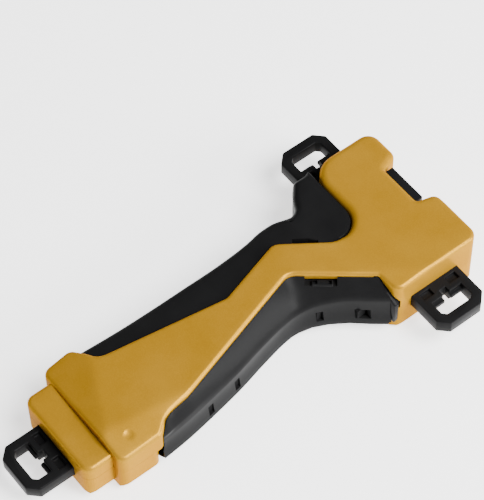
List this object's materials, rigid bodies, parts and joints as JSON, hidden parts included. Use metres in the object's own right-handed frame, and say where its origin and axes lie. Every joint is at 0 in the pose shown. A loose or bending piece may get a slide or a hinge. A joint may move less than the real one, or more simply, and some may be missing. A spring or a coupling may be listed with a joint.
{
  "type": "spinning-top launcher grip",
  "caption": "Two-colour hand grip for a spinning-top launcher, with a notched socket head, a sprung lock and square accessory loops.",
  "frame": {"origin": "on the supporting plane, below the middle of the whole object's box", "axes": "+Y along the grip towards the head, +Z out of the front face, +X towards the finger side"},
  "size_m": [0.0778, 0.1482, 0.022],
  "materials": {
    "gold_plastic": "pearl satin",
    "black_plastic": "fine satin",
    "steel": "zinc plated"
  },
  "bodies": {
    "grip": {"front_cover": "gold_plastic", "head_rear_cover": "gold_plastic", "butt_rear_cover": "gold_plastic", "front_grip_shell": "black_plastic", "rear_grip_shell": "black_plastic", "left_loop": "black_plastic", "right_loop": "black_plastic", "butt_loop": "black_plastic", "lock_guide": "black_plastic", "lock_spring": "steel", "guide_screws": "steel", "head_screws": "steel", "grip_screws": "steel", "butt_screws": "steel"},
    "lock": {"launcher_lock": "black_plastic"}
  },
  "joints": [
    {"name": "lock_slide", "type": "slide", "parent": "grip", "child": "lock", "axis": [0, -1, 0], "range_m": [0, 0.0026], "stiffness_N_per_m": 600, "springref_m": -0.003, "deforming": ["lock_spring"]}
  ]
}
